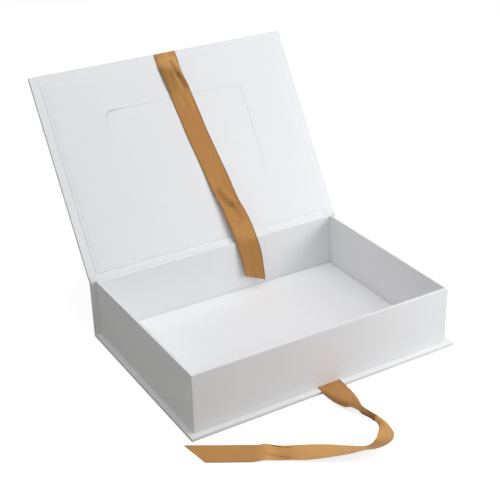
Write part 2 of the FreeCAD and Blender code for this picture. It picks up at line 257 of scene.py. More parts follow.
white_table, tree, shader = new_material(
    "white_table", Base_Color=(0.55, 0.55, 0.55, 1.0), Roughness=0.9, Specular_IOR_Level=0.0,
    Emission_Color=(1.0, 1.0, 1.0, 1.0)
)
light_path = add_node(tree, "ShaderNodeLightPath")
glow = calculate(tree, "MULTIPLY", light_path.outputs["Is Camera Ray"], TABLE_GLOW)
set_inputs(tree, shader, Emission_Strength=glow)
table_mesh.materials.append(white_table)
print("table half width:", TABLE_HALF, "m")

# %% [markdown]
# Sizes that the new pieces share with the part, in metres. What a node of the frame has is read from it,
# so that it follows the part. The rest are the part's own driving sizes, each written once.

# %% Shared sizes
PAPER = 0.0002
RIBBON_WIDTH = 0.025
RIBBON_THICKNESS = 0.0003
RIBBON_TUCK = 0.025
RIBBON_CLEARANCE = 0.00005
GLUE_LINE = RIBBON_THICKNESS + 2 * RIBBON_CLEARANCE
LID_RIBBON_OFFSET = 0.004
LINER_CARD = 0.0003
LINER_INSET = 0.009
LINER_HINGE_INSET = 0.0006
OPENING_WIDTH = 0.162
OPENING_HEIGHT = 0.110
OPENING_CORNER = 0.008
CASE_BOARD = 0.003
TURN_IN = 0.015
EDGE_ROUND = 0.0004
TRAY_WALL = 0.0028
LID_OVERHANG = 0.001
HINGE_DEPTH = 0.001
HINGE_GAP = 0.004

hinge = frame["joints"][0]
hinge_point = np.array(hinge["pos_m"])
open_angle = math.radians(-hinge["range_deg"][0])
tray_low, tray_high = (np.array(corner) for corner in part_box("tray_wrap"))
base_low, base_high = (np.array(corner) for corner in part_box("base_wrap"))
spine_high = np.array(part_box("spine_wrap")[1])
floor_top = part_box("tray_floor_liner")[1].z
tray_rim = tray_high[2]
lid_reach = round(float(hinge_point[1] - base_low[1]) + LID_OVERHANG, 5)
turn_in_depth = LINER_CARD + GLUE_LINE
lid_thickness = turn_in_depth + CASE_BOARD + 2 * PAPER
opening_middle = (lid_reach + HINGE_GAP) / 2
lid_axes = np.array([
    (1.0, 0.0, 0.0),
    (0.0, -math.cos(open_angle), math.sin(open_angle)),
    (0.0, -math.sin(open_angle), -math.cos(open_angle)),
])


def on_lid(right, up, off):
    """Points of the open lid: to the right, up from the hinge line, and off its inner face towards the
    tray. Each is a number or an array, and the hinge line lies a hinge depth behind the face."""
    places = np.stack(np.broadcast_arrays(right, up, np.add(off, HINGE_DEPTH)), axis=-1)
    return hinge_point + places @ lid_axes


print("lid opened by", round(math.degrees(open_angle), 1), "degrees, reach", round(lid_reach, 5), "m")

# %% [markdown]
# Covering paper is not one flat white. Held to the light it is cloudy, and close up it has a fine tooth
# and a few longer fibres. A picture of paper could give these, but noise needs no file and never repeats.
# One node group serves every paper of the box.

# %% Paper fibre group
paper_fibre, ends_in, ends_out = new_group(
    "paper_fibre", {"Position": VECTOR}, {"Cloud": NUMBER, "Height": NUMBER, "Roughness": NUMBER}
)
position = ends_in.outputs["Position"]
cloud = noise(paper_fibre, position, 55.0, 5.0, 0.6)
tooth = noise(paper_fibre, position, 2400.0, 3.0, 0.55)
stretched = add_node(
    paper_fibre, "ShaderNodeMapping", Vector=position, Rotation=(0.3, 0.5, 0.6), Scale=(0.12, 1, 1)
)
fibre = noise(paper_fibre, stretched.outputs[0], 1500.0, 2.0)
height = calculate(paper_fibre, "MULTIPLY_ADD", fibre, 0.6, tooth)
roughness = ramp(paper_fibre, tooth, 0.0, 1.0, 0.52, 0.68, "LINEAR")
set_inputs(paper_fibre, ends_out, Cloud=cloud, Height=height, Roughness=roughness)
print("group:", paper_fibre.name)

# %% [markdown]
# Where one sheet is pasted over another, its cut edge shows as a tiny step with a hair line of shade beside
# it. Cutting every sheet would need many thin faces, so this group turns a distance from such an edge into
# both: a mask for the line, which is painted shade, and a smooth step for the bump.

# %% Pasted edge group
pasted_edge, ends_in, ends_out = new_group(
    "pasted_edge", {"Distance": NUMBER, "Line Width": NUMBER}, {"Line": NUMBER, "Step": NUMBER}
)
distance = ends_in.outputs["Distance"]
line_width = ends_in.outputs["Line Width"]
line = ramp(pasted_edge, calculate(pasted_edge, "ABSOLUTE", distance), 0.0, line_width, 1.0, 0.0)
step = ramp(pasted_edge, distance, calculate(pasted_edge, "MULTIPLY", line_width, -1.0), line_width)
set_inputs(pasted_edge, ends_out, Line=line, Step=step)
print("group:", pasted_edge.name)

# %% [markdown]
# Handling rubs paper first where it is folded round an edge. A rounded normal, as the Bevel node gives,
# differs from the true one only near an edge, and that difference, broken up by noise, is where the paper
# is rubbed. It finds every edge by itself, so none has to be painted.

# %% Edge wear group
edge_wear, ends_in, ends_out = new_group("edge_wear", {"Position": VECTOR}, {"Wear": NUMBER})
rounded = add_node(edge_wear, "ShaderNodeBevel", {"samples": 4}, Radius=0.0008)
true_normal = add_node(edge_wear, "ShaderNodeNewGeometry").outputs["True Normal"]
agree = add_node(
    edge_wear, "ShaderNodeVectorMath", {"operation": "DOT_PRODUCT"}, i0=rounded.outputs[0], i1=true_normal
)
near_edge = ramp(edge_wear, agree.outputs["Value"], 0.98, 0.8, kind="LINEAR")
patches = noise(edge_wear, ends_in.outputs["Position"], 160.0, 4.0, 0.6)
set_inputs(edge_wear, ends_out, Wear=calculate(edge_wear, "MULTIPLY", near_edge, patches))
print("group:", edge_wear.name)

# %% [markdown]
# Each paper takes a white of its own, a second white for its clouds, and the fibre as roughness and bump.
# Some papers also have a cut edge. The caller gives it as a function, because its place differs from
# sheet to sheet.

# %% Paper finish
RUBBED_TINT = (0.86, 0.85, 0.83)
EDGE_SHADE = 0.55
FIBRE_HEIGHT = 0.00002
STEP_HEIGHT = 0.001


def paper_finish(name, white, clouded, cut_edge=None, line_width=0.0004):
    """A paper material. Base colour goes between two whites with the cloud, duller where rubbed, and
    darker along a cut edge with painted shade. The cut edge is a function of the tree and the place that
    gives the distance from the edge and how strongly the painted shade shows."""
    material, tree, shader = new_material(name, Specular_IOR_Level=0.3)
    place = add_node(tree, "ShaderNodeTexCoord").outputs["Object"]
    fibre = add_node(tree, "ShaderNodeGroup", {"node_tree": paper_fibre}, Position=place)
    wear = add_node(tree, "ShaderNodeGroup", {"node_tree": edge_wear}, Position=place)
    colour = mix_colours(tree, fibre.outputs["Cloud"], white, clouded)
    colour = mix_colours(tree, wear.outputs["Wear"], colour, np.multiply(white, RUBBED_TINT))
    height = calculate(tree, "MULTIPLY", fibre.outputs["Height"], FIBRE_HEIGHT)
    if cut_edge:
        distance, strength = cut_edge(tree, place)
        edge = add_node(
            tree, "ShaderNodeGroup", {"node_tree": pasted_edge}, Distance=distance, Line_Width=line_width
        )
        # Painted shade along the cut edge, as strong as the edge asks.
        shaded = calculate(tree, "MULTIPLY", edge.outputs["Line"], strength)
        colour = mix_colours(tree, shaded, colour, np.multiply(white, EDGE_SHADE))
        step = calculate(tree, "MULTIPLY", edge.outputs["Step"], strength)
        height = calculate(tree, "MULTIPLY_ADD", step, STEP_HEIGHT, height)
    bump = add_node(tree, "ShaderNodeBump", Height=height, Distance=1.0, Strength=1.0)
    set_inputs(
        tree, shader, Base_Color=colour, Roughness=fibre.outputs["Roughness"], Normal=bump.outputs[0]
    )
    return material


print("paper finish ready")

# %% [markdown]
# Two papers have cut edges that show as a line of painted shade: the flaps of the tray's wrap, and the
# opening in the card inside the lid. Both are described by a distance, worked out from the place on the
# part, so the line stays as sharp as the paper is when the camera comes close.

# %% Cut edges
CORNER_FLAP = 0.006
# How strong the painted shade along the flap edges is.
FLAP_STRENGTH = 0.15
FRONT_DEPTH = 0.001
SIDE_DEPTH = 0.0002
FAR_AWAY = 1.0


def corner_overlaps(tree, place):
    """Distance past the edges of the tray's corner flaps. One laps round each front corner onto the front
    face, and one laps from the back wall onto each side wall inside. Off its own face each distance is
    far away."""
    split = add_node(tree, "ShaderNodeSeparateXYZ", Vector=place)
    aside = calculate(tree, "ABSOLUTE", split.outputs["X"])
    backward = split.outputs["Y"]
    from_corner = calculate(tree, "SUBTRACT", aside, tray_high[0] - CORNER_FLAP)
    off_front = calculate(tree, "GREATER_THAN", backward, tray_low[1] + FRONT_DEPTH)
    on_front = calculate(tree, "MULTIPLY_ADD", off_front, FAR_AWAY, from_corner)
    from_flap = calculate(tree, "SUBTRACT", tray_high[1] - TRAY_WALL - CORNER_FLAP, backward)
    from_wall = calculate(tree, "SUBTRACT", tray_high[0] - TRAY_WALL, aside)
    off_wall = calculate(tree, "GREATER_THAN", calculate(tree, "ABSOLUTE", from_wall), SIDE_DEPTH)
    on_wall = calculate(tree, "MULTIPLY_ADD", off_wall, FAR_AWAY, from_flap)
    return calculate(tree, "MINIMUM", on_front, on_wall), FLAP_STRENGTH


def opening_edge(tree, place):
    """Distance outside the opening in the lid: with q the place past the corner's centre, length(max(q,
    0)) + min(max(q), 0) - corner. Its line is painted shade, strongest at the corner that has lifted,
    where it is a painted shadow under the card, and faint elsewhere."""
    right = add_node(tree, "ShaderNodeSeparateXYZ", Vector=place).outputs["X"]
    from_hinge = add_node(tree, "ShaderNodeVectorMath", {"operation": "SUBTRACT"}, i0=place, i1=hinge_point)
    along_lid = add_node(
        tree, "ShaderNodeVectorMath", {"operation": "DOT_PRODUCT"}, i0=from_hinge.outputs[0], i1=lid_axes[1]
    )
    up = calculate(tree, "SUBTRACT", along_lid.outputs["Value"], opening_middle)
    past = [
        calculate(tree, "SUBTRACT", calculate(tree, "ABSOLUTE", value), size / 2 - OPENING_CORNER)
        for value, size in ((right, OPENING_WIDTH), (up, OPENING_HEIGHT))
    ]
    outer = [calculate(tree, "MAXIMUM", value, 0.0) for value in past]
    up_squared = calculate(tree, "MULTIPLY", outer[1], outer[1])
    length = calculate(tree, "SQRT", calculate(tree, "MULTIPLY_ADD", outer[0], outer[0], up_squared))
    inner = calculate(tree, "MINIMUM", calculate(tree, "MAXIMUM", *past), 0.0)
    distance = calculate(tree, "SUBTRACT", calculate(tree, "ADD", length, inner), OPENING_CORNER)
    to_corner = add_node(
        tree, "ShaderNodeVectorMath", {"operation": "DISTANCE"},
        i0=add_node(tree, "ShaderNodeCombineXYZ", X=right, Y=up).outputs[0],
        i1=(-OPENING_WIDTH / 2, OPENING_HEIGHT / 2 - OPENING_CORNER, 0.0)
    )
    # How strong the painted shade is: a painted shadow near the lifted corner, fading to a faint line.
    return distance, ramp(tree, to_corner.outputs["Value"], 0.004, 0.022, 0.6, 0.01)


print("cut edges ready")

# %% [markdown]
# The papers of the box are all near one white. The case, the lid, the tray, its floor and the liner each
# have a white of their own, set so that each part has its brightness under the lamps, so the differences
# between them are painted light: the lid's wrap, the tray and its floor are painted brighter than the
# case paper. The hidden boards and tapes are grey board and brown tape. Each material is put on the nodes
# that it covers.

# %% Papers of the box
cover_paper = paper_finish("cover_paper", (0.84, 0.84, 0.85), (0.80, 0.80, 0.81))
# Painted light: the lid, tray and floor whites are painted brighter than the case paper.
lid_paper_painted_light = paper_finish("lid_paper_painted_light", (0.87, 0.88, 0.90), (0.845, 0.855, 0.88))
tray_paper_painted_light = paper_finish("tray_paper_painted_light", (0.87, 0.875, 0.89), (0.84, 0.845, 0.86), corner_overlaps)
floor_paper_painted_light = paper_finish("floor_paper_painted_light", (0.875, 0.88, 0.895), (0.85, 0.855, 0.87))
liner_paper = paper_finish("liner_paper", (0.855, 0.865, 0.88), (0.83, 0.84, 0.855), opening_edge, 0.0007)
lining_paper = paper_finish("lining_paper", (0.85, 0.855, 0.87), (0.82, 0.825, 0.84))
grey_board = paper_finish("grey_board", (0.34, 0.32, 0.29), (0.26, 0.24, 0.21))
kraft_tape = paper_finish("kraft_tape", (0.42, 0.29, 0.17), (0.36, 0.24, 0.13))

finishes = {
    cover_paper: ("base_wrap", "spine_wrap"),
    lid_paper_painted_light: ("lid_wrap",),
    tray_paper_painted_light: ("tray_wrap",),
    liner_paper: ("photo_pocket_backing",),
    floor_paper_painted_light: ("tray_floor_liner",),
    grey_board: (
        "base_board", "spine_board", "lid_board", "tray_bottom_board",
        "tray_front_wall", "tray_back_wall", "tray_left_wall", "tray_right_wall",
    ),
    kraft_tape: ("tray_corner_tapes",),
}
for material, names in finishes.items():
    for name in names:
        nodes[name].data.materials.clear()
        nodes[name].data.materials.append(material)
print("finished nodes:", sum(len(names) for names in finishes.values()))

# %% [markdown]
# Every new piece is a thin strip or sheet given by a grid of middle points. It could be a flat surface
# with a Solidify modifier, but here the two skins are made directly, so that the edges can be closed as
# the cloth or paper is cut. It is a closed shell: an upper and a lower skin, joined along the edges and
# at the ends.

# %% Strip shell
SHARP_ANGLE = math.radians(60)


def unit(vectors):
    """The vectors at length one."""
    return vectors / np.linalg.norm(vectors, axis=-1, keepdims=True)


def run_along(points):
    """Distance from the first point to each point, along straight lines from one to the next."""
    return np.concatenate([[0.0], np.cumsum(np.linalg.norm(np.diff(points, axis=0), axis=1))])


def shell_faces(rows, columns, ring):
    """Quads of a closed strip over a grid, with the lower skin's vertices numbered after the upper ones.
    They join neighbours on both skins, the two edges and the two ends. A ring joins its last row to its
    first and has no ends."""
    index = np.arange(rows * columns).reshape(rows, columns)
    if ring:
        index = np.vstack([index, index[:1]])
    under = index + rows * columns

    def quads(a, b, c, d):
        return np.stack([a.ravel(), b.ravel(), c.ravel(), d.ravel()], axis=1)

    sides = [
        quads(index[:-1, :-1], index[:-1, 1:], index[1:, 1:], index[1:, :-1]),
        quads(under[:-1, :-1], under[1:, :-1], under[1:, 1:], under[:-1, 1:]),
        quads(index[:-1, 0], index[1:, 0], under[1:, 0], under[:-1, 0]),
        quads(index[:-1, -1], under[:-1, -1], under[1:, -1], index[1:, -1]),
    ]
    ends = [
        quads(index[0, :-1], under[0, :-1], under[0, 1:], index[0, 1:]),
        quads(index[-1, :-1], index[-1, 1:], under[-1, 1:], under[-1, :-1]),
    ]
    return np.concatenate(sides if ring else sides + ends)[:, ::-1]


def shell_object(name, middle, thickness, across, along, ring=False):
    """A closed strip round a grid of middle points. Each point gives two vertices, half the thickness out
    along the normal and half in. The normal is the cross product of the steps along the two ways of the
    grid. The UV map holds the grid's own distances in metres: across the strip, and along it."""
    normal = unit(np.cross(np.gradient(middle, axis=0), np.gradient(middle, axis=1)))
    offset = normal * (thickness / 2)
    vertices = np.concatenate([(middle + offset).reshape(-1, 3), (middle - offset).reshape(-1, 3)])
    faces = shell_faces(*middle.shape[:2], ring)
    mesh = bpy.data.meshes.new(name)
    mesh.from_pydata(vertices.tolist(), [], faces.tolist())
    flat = np.stack(np.broadcast_arrays(across, along), axis=-1).reshape(-1, 2)
    corner_vertex = np.empty(len(mesh.loops), np.int32)
    mesh.loops.foreach_get("vertex_index", corner_vertex)
    uv = mesh.uv_layers.new(name="strip")
    uv.data.foreach_set("uv", np.concatenate([flat, flat])[corner_vertex].astype(np.float32).ravel())
    mesh.polygons.foreach_set("use_smooth", np.ones(len(faces), bool))
    mesh.set_sharp_from_angle(angle=SHARP_ANGLE)
    mesh.update()
    strip = bpy.data.objects.new(name, mesh)
    bpy.context.scene.collection.objects.link(strip)
    return strip


print("strip shell ready")

# %% [markdown]
# The hinge is paper on both sides. Outside, the case wrap runs from the top of the spine to the back of
# the lid, and at each end it is folded in round the gap. Inside, between the folded ends, a lining strip
# comes up behind the tray, bridges the gap and is pasted on the lid. Both bend when the lid moves, which
# a rigid node can't, so each is made new as a surface that runs from the box to the lid, here as it lies
# with the lid open. First come the two curves over the gap.

# %% Hinge curves
BRIDGE_STEPS = 13
HINGE_WRAP_RISE = 0.0004
LINING_RISE = 0.0006


def bridge(start, end, rise):
    """Places from start to end in the plane across the hinge, on a curve that rises from the line between
    them by rise * 4 * t * (1 - t), for t from 0 to 1."""
    t = np.linspace(0, 1, BRIDGE_STEPS)[:, None]
    chord = np.subtract(end, start)
    side = np.array([-chord[1], chord[0]]) / np.linalg.norm(chord)
    return start + chord * t + side * (rise * 4 * t * (1 - t))


half_paper = PAPER / 2
lining_y = tray_high[1] + half_paper
lining_level = -turn_in_depth - half_paper
spine_top = (spine_high[1] - half_paper, tray_rim)
lid_back_edge = on_lid(0.0, HINGE_GAP, half_paper - lid_thickness)[1:]
outside = bridge(spine_top, lid_back_edge, -HINGE_WRAP_RISE)
inside = bridge((lining_y, tray_rim), on_lid(0.0, HINGE_GAP, lining_level)[1:], LINING_RISE)
print("gap to bridge:", round(float(np.linalg.norm(lid_back_edge - np.array(spine_top))) * 1000, 2), "mm")

# %% [markdown]
# Each hinge paper is one grid. Its columns run from left to right, and each column lies between the
# inside and the outside curve by a share. The wrap's shares go from 0, the outside, round the folded edge
# to nearly 1 where the turned-in end lies under the lining. The lining goes on down behind the tray and
# up onto the lid.

# %% Hinge papers
LINING_TUCK = 0.015
LINING_FLANGE = 0.010
LINING_COLUMNS = 25
UNDERLAP = 0.004


def hinge_surface(name, x, near, far, share):
    """A sheet of paper over a grid. Each column has a place to the right, x, and lies between a near path
    and a far path by its share."""
    middle = np.empty((len(near), len(x), 3))
    middle[..., 0] = x
    middle[..., 1:] = near[:, None] + (far - near)[:, None] * share[None, :, None]
    aside = run_along(np.column_stack([x, share * CASE_BOARD]))
    return shell_object(name, middle, PAPER, aside[None, :], run_along(near)[:, None])


case_half = base_high[0] - half_paper
fold = EDGE_ROUND * np.array([1.0, 0.3, 0.0, 0.0, 0.3, 1.0])
fold_share = np.array([0.0, 0.03, 0.12, 0.88, 0.97, 1.0])
turn_in_edge = case_half - TURN_IN - np.array([0.0, EDGE_ROUND, UNDERLAP])
half_x = np.concatenate([[0.0, case_half / 2], case_half - fold, turn_in_edge])
half_share = np.concatenate([[0.0, 0.0], fold_share, [0.97, 0.92, 0.92]])
wrap_x = np.concatenate([-half_x[:0:-1], half_x])
wrap_share = np.concatenate([half_share[:0:-1], half_share])
hinge_wrap = hinge_surface("hinge_paper_outside", wrap_x, outside, inside, wrap_share)
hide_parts("hinge_wrap")
hinge_wrap.data.materials.append(cover_paper)

flange_up = HINGE_GAP + LINING_FLANGE * np.array([0.1, 0.3, 0.6, 1.0])
flange = on_lid(0.0, flange_up, lining_level)[:, 1:]
tuck_height = tray_rim - LINING_TUCK * np.array([1.0, 0.6, 0.3, 0.1])
tuck = np.column_stack([np.full(len(tuck_height), lining_y), tuck_height])
lining_path = np.vstack([tuck, inside, flange])
lining_half = base_high[0] - TURN_IN - PAPER
lining_x = np.linspace(-lining_half, lining_half, LINING_COLUMNS)
lining_share = np.zeros(LINING_COLUMNS)
hinge_lining = hinge_surface("hinge_paper_inside", lining_x, lining_path, lining_path, lining_share)
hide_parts("hinge_lining")
hinge_lining.data.materials.append(lining_paper)

for sheet in (hinge_wrap, hinge_lining):
    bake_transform(sheet)
print("hinge papers:", len(hinge_wrap.data.polygons) + len(hinge_lining.data.polygons), "faces")

# %% [markdown]
# The liner is a card pasted inside the lid, with a die-cut opening for a photo. The part has it as a flat
# plate. Here its border is pressed down on the turned-in paper, except where the ribbon comes out from
# under it, and one corner of the opening has lifted a little. A plate with a hole cut by a Boolean has
# long uneven faces that can't bend, so it is a ring of loops instead, from the border in to the opening.

# %% Liner loops
BORDER = 0.006
BORDER_CORNER = 0.0005
SIDE_POINTS = 64
CORNER_POINTS = 9


def rounded_loop(half_right, half_up, corner):
    """Places round a rectangle with rounded corners, as right and up from its middle. Each corner is a
    quarter turn about its own centre, and the sides are straight between them."""
    quarter = np.linspace(0, math.pi / 2, CORNER_POINTS)
    arcs = []
    for number, (right, up) in enumerate([(1, 1), (-1, 1), (-1, -1), (1, -1)]):
        turn = quarter + number * math.pi / 2
        centre = np.array([right * (half_right - corner), up * (half_up - corner)])
        arcs.append(centre + corner * np.column_stack([np.cos(turn), np.sin(turn)]))
    share = np.linspace(0, 1, SIDE_POINTS + 2)[1:-1, None]
    pieces = []
    for arc, following in zip(arcs, arcs[1:] + arcs[:1]):
        pieces += [arc, arc[-1] + (following[0] - arc[-1]) * share]
    return np.vstack(pieces)


liner_low = HINGE_GAP + LINER_HINGE_INSET
liner_high = lid_reach - LINER_INSET
liner_middle = (liner_low + liner_high) / 2
liner_half_right = base_high[0] - LINER_INSET
liner_half_up = (liner_high - liner_low) / 2
border_loops = [
    rounded_loop(liner_half_right - inset, liner_half_up - inset, BORDER_CORNER + inset) + [0, liner_middle]
    for inset in BORDER * np.array([0.0, 0.1, 0.25, 0.4, 0.55, 0.7, 0.85, 1.0])
]
opening_loop = rounded_loop(OPENING_WIDTH / 2, OPENING_HEIGHT / 2, OPENING_CORNER) + [0, opening_middle]
inward = np.array([0.3, 0.55, 0.7, 0.8, 0.87, 0.92, 0.96, 0.985, 1.0])[:, None, None]
face_loops = border_loops[-1] + (opening_loop - border_loops[-1]) * inward
liner_right, liner_up = np.concatenate([border_loops, face_loops]).transpose(2, 1, 0)
print("liner loops:", liner_right.shape[1], "of", liner_right.shape[0], "points")

# %% [markdown]
# The card's height off the lid is a formula over those loops. Next to the border it falls by the press,
# and near the lifted corner it rises as a bell. Both are under a millimetre, but the light shows them.

# %% Lid liner
LINER_PRESS = 0.00033
PRESS_SHARE = 0.3
CORNER_LIFT = 0.0006
CORNER_SPREAD = 0.016
RIBBON_RELIEF = (0.015, 0.027)


def smooth_fall(value, start, end):
    """One before start, zero after end, and between them 1 - 3 t^2 + 2 t^3 for t from 0 to 1."""
    t = np.clip((value - start) / (end - start), 0, 1)
    return 1 - 3 * t ** 2 + 2 * t ** 3


from_side = liner_half_right - np.abs(liner_right)
from_end = liner_half_up - np.abs(liner_up - liner_middle)
from_border = np.minimum(from_side, from_end)
from_ribbon = np.abs(liner_right - LID_RIBBON_OFFSET)
over_ribbon = smooth_fall(from_ribbon, *RIBBON_RELIEF) * (liner_up > liner_middle)
press = LINER_PRESS * smooth_fall(from_border, PRESS_SHARE * BORDER, BORDER) * (1 - over_ribbon)
to_corner = np.hypot(liner_right + OPENING_WIDTH / 2, liner_up - opening_middle - OPENING_HEIGHT / 2)
lift = CORNER_LIFT * np.exp(-(to_corner / CORNER_SPREAD) ** 2)
liner_places = on_lid(liner_right, liner_up, lift - press - LINER_CARD / 2)
lid_liner = shell_object("lid_liner_card", liner_places, LINER_CARD, liner_right, liner_up, ring=True)
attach(lid_liner, "lid")
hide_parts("lid_liner")
lid_liner.data.materials.append(liner_paper)
print("lid liner:", len(lid_liner.data.polygons), "faces")

# %% [markdown]
# A ribbon's route is given at stations, as a person would pin it down, and a spline fills them in. A
# Bezier curve with a bevel could carry a flat profile too, but it can't curl the profile on the way. At
# each station the ribbon has a centre, a direction from its left edge to its right edge, the half angle
# that it curls by, and the share of its width that is left where it is gathered.

# %% Ribbon route
def catmull_rom(rows, steps, place_columns=3):
    """Rows filled in between: on each span a cubic through its two ends, with slopes set by the rows on
    each side. A span's time is the root of its length, so the curve doesn't overshoot where the places
    come close."""
    rows = np.array(rows, float)
    padded = np.vstack([2 * rows[0] - rows[1], rows, 2 * rows[-1] - rows[-2]])
    times = np.sqrt(np.linalg.norm(np.diff(padded[:, :place_columns], axis=0), axis=1))
    count = len(rows) - 1
    lead, span, follow = (times[place:place + count, None] for place in range(3))
    a, b, c, d = (padded[place:place + count] for place in range(4))
    leave = c - b + span * ((b - a) / lead - (c - a) / (lead + span))
    arrive = c - b + span * ((d - c) / follow - (d - b) / (span + follow))
    bend = 3 * (c - b) - 2 * leave - arrive
    twist = leave + arrive - 2 * (c - b)
    t = np.linspace(0, 1, steps, endpoint=False)[None, :, None]
    spans = b[:, None] + leave[:, None] * t + bend[:, None] * t ** 2 + twist[:, None] * t ** 3
    return np.vstack([spans.reshape(-1, rows.shape[1]), rows[-1:]])


print("spline ready")

# %% [markdown]
# Across its route the ribbon is an arc. What a gather takes from the width is folded under, so the cloth
# keeps its size and its face stays smooth. Creases are pressed into the face afterwards. They could be
# bump alone, but a crease also moves the outline and the shadow, so they are in the shape.

# %% Ribbon section and creases
FOLD_SHARE = 0.8
LAYER = 0.0006


def ribbon_section(s, curl, gather):
    """Places across the ribbon, sideways and up from its centre, for s from -1 to 1 over the flat cloth.
    They lie on an arc: sideways sin(curl * c) / curl and up (1 - cos(curl * c)) / curl, for c from -1 to
    1. A gather g makes it g times as wide. The cloth past that goes under in a zigzag: back and forth by
    the triangle wave arccos(cos(pi * passes)) * span / pi, and down by a layer a pass."""
    half = RIBBON_WIDTH / 2
    c = np.clip(s / gather, -1, 1)
    sideways = half * gather * np.sin(curl * c) / curl
    rise = half * ((1 - np.cos(curl * c)) - (1 - np.cos(curl)) / 2) / curl
    span = FOLD_SHARE * half * gather
    passes = half * np.maximum(np.abs(s) - gather, 0) / span
    sideways = sideways - np.sign(s) * np.arccos(np.cos(np.pi * passes)) * span / np.pi
    rise = rise - LAYER * (passes - half * (1 - gather) / span / 2)
    return sideways, rise


def crease_depth(across, along, creases):
    """Depth of the creases at places on the flat ribbon, all in millimetres. Each crease is a line from
    one place to another, with a width and a depth, and its valley falls off as exp(-(distance / width) **
    2). A depth below zero is a ridge."""
    depth = np.zeros(np.broadcast(across, along).shape)
    for (start_across, start_along), (end_across, end_along), width, deepest in creases:
        line_across = end_across - start_across
        line_along = end_along - start_along
        from_across = across - start_across
        from_along = along - start_along
        share = from_across * line_across + from_along * line_along
        share = np.clip(share / (line_across ** 2 + line_along ** 2), 0, 1)
        distance = np.hypot(from_across - share * line_across, from_along - share * line_along)
        depth += deepest * np.exp(-(distance / width) ** 2)
    return depth


print("ribbon section ready")

# %% [markdown]
# The ribbon is then one grid: rows along the route, columns across. Its far end is cut on a slant. The
# cloth is a little thinner than the part's own solid. Painted light is kept with the mesh for the satin
# finish: above zero a painted highlight, below zero painted shade.

# %% Ribbon surface
MILLIMETRE = 0.001
RIBBON_STEPS = 12
RIBBON_COLUMNS = 61
LEAST_CURL = 0.001
SLANT_FADE = 0.04
CLOTH = 0.0002
# Painted shade for each millimetre of a crease's depth; a ridge gets a painted highlight.
CREASE_SHADE = 0.35


def ribbon_object(name, stations, slant, creases, painted_light_stations):
    """A ribbon through the stations, with its length. Near the far end each point is moved along by its
    place across times the slant. The painted light goes straight from one of the painted light stations
    to the next along the ribbon, with painted shade added in a crease's valley and a painted highlight on
    a ridge."""
    rows = [[*centre, *across, curl, gather] for centre, across, curl, gather in stations]
    rows = catmull_rom(rows, RIBBON_STEPS)
    centre = rows[:, :3]
    along = unit(np.gradient(centre, axis=0))
    across = rows[:, 3:6]
    across = unit(across - along * (across * along).sum(1, keepdims=True))
    up = np.cross(along, across)
    run = run_along(centre)
    curl = np.radians(rows[:, 6])
    curl = np.where(np.abs(curl) < LEAST_CURL, LEAST_CURL, curl)[:, None]
    gather = np.clip(rows[:, 7], 0, 1)[:, None]
    s = np.linspace(-1, 1, RIBBON_COLUMNS)[None, :]
    flat_across = s * RIBBON_WIDTH / 2
    near_end = np.clip(1 - (run[-1] - run) / SLANT_FADE, 0, 1)[:, None] ** 2
    shift = s * slant * near_end
    flat_along = run[:, None] + shift
    sideways, rise = ribbon_section(s, curl, gather)
    depth = crease_depth(flat_across / MILLIMETRE, flat_along / MILLIMETRE, creases)
    rise = rise - MILLIMETRE * depth
    middle = (
        centre[:, None]
        + across[:, None] * sideways[..., None]
        + up[:, None] * rise[..., None]
        + along[:, None] * shift[..., None]
    )
    ribbon = shell_object(name, middle, CLOTH, flat_across, flat_along)
    # Painted light at each point: the stations' values, with painted shade in crease valleys.
    painted_light = np.interp(flat_along / MILLIMETRE, *np.transpose(painted_light_stations)) - CREASE_SHADE * depth
    both_skins = np.tile(np.clip(painted_light, -1, 1).ravel(), 2)
    ribbon.data.attributes.new("painted_light", "FLOAT", "POINT").data.foreach_set("value", both_skins)
    length = float(run[-1])
    print(name, "length", round(length / MILLIMETRE, 1), "mm, faces", len(ribbon.data.polygons))
    return ribbon, length


print("ribbon surface ready")

# %% [markdown]
# Satin is woven so that the long warp threads lie on top, which makes it shine in a band across the
# threads. The group draws the threads from the strip's UV map, so they follow every turn, with a firmer
# woven edge on each side, long pale streaks, and a slow wave where the cloth doesn't lie quite flat.

# %% Satin weave group
THREAD_PITCH = 0.00025
PICK_PITCH = 0.0005
satin_weave, ends_in, ends_out = new_group(
    "satin_weave", {"Across": NUMBER, "Along": NUMBER},
    {"Thread": NUMBER, "Selvedge": NUMBER, "Streak": NUMBER, "Wave": NUMBER}
)
across = ends_in.outputs["Across"]
along = ends_in.outputs["Along"]


def threads(distance, pitch):
    """A sine wave over the distance, one wave to each pitch."""
    return calculate(satin_weave, "SINE", calculate(satin_weave, "MULTIPLY", distance, 2 * math.pi / pitch))


def cloth_noise(across_scale, along_scale, detail):
    """Noise on the flat cloth, with its own scale across and along."""
    place = add_node(
        satin_weave, "ShaderNodeCombineXYZ",
        X=calculate(satin_weave, "MULTIPLY", across, across_scale),
        Y=calculate(satin_weave, "MULTIPLY", along, along_scale)
    )
    return noise(satin_weave, place.outputs[0], 1.0, detail)


from_edge = calculate(satin_weave, "SUBTRACT", RIBBON_WIDTH / 2, calculate(satin_weave, "ABSOLUTE", across))
selvedge = ramp(satin_weave, from_edge, 0.0007, 0.0016, 1.0, 0.0)
edge_thread = calculate(satin_weave, "MULTIPLY", threads(along, PICK_PITCH), selvedge)
thread = calculate(satin_weave, "ADD", threads(across, THREAD_PITCH), edge_thread)
set_inputs(
    satin_weave, ends_out, Thread=thread, Selvedge=selvedge,
    Streak=cloth_noise(900.0, 25.0, 3.0), Wave=cloth_noise(70.0, 30.0, 2.0)
)
print("group:", satin_weave.name)
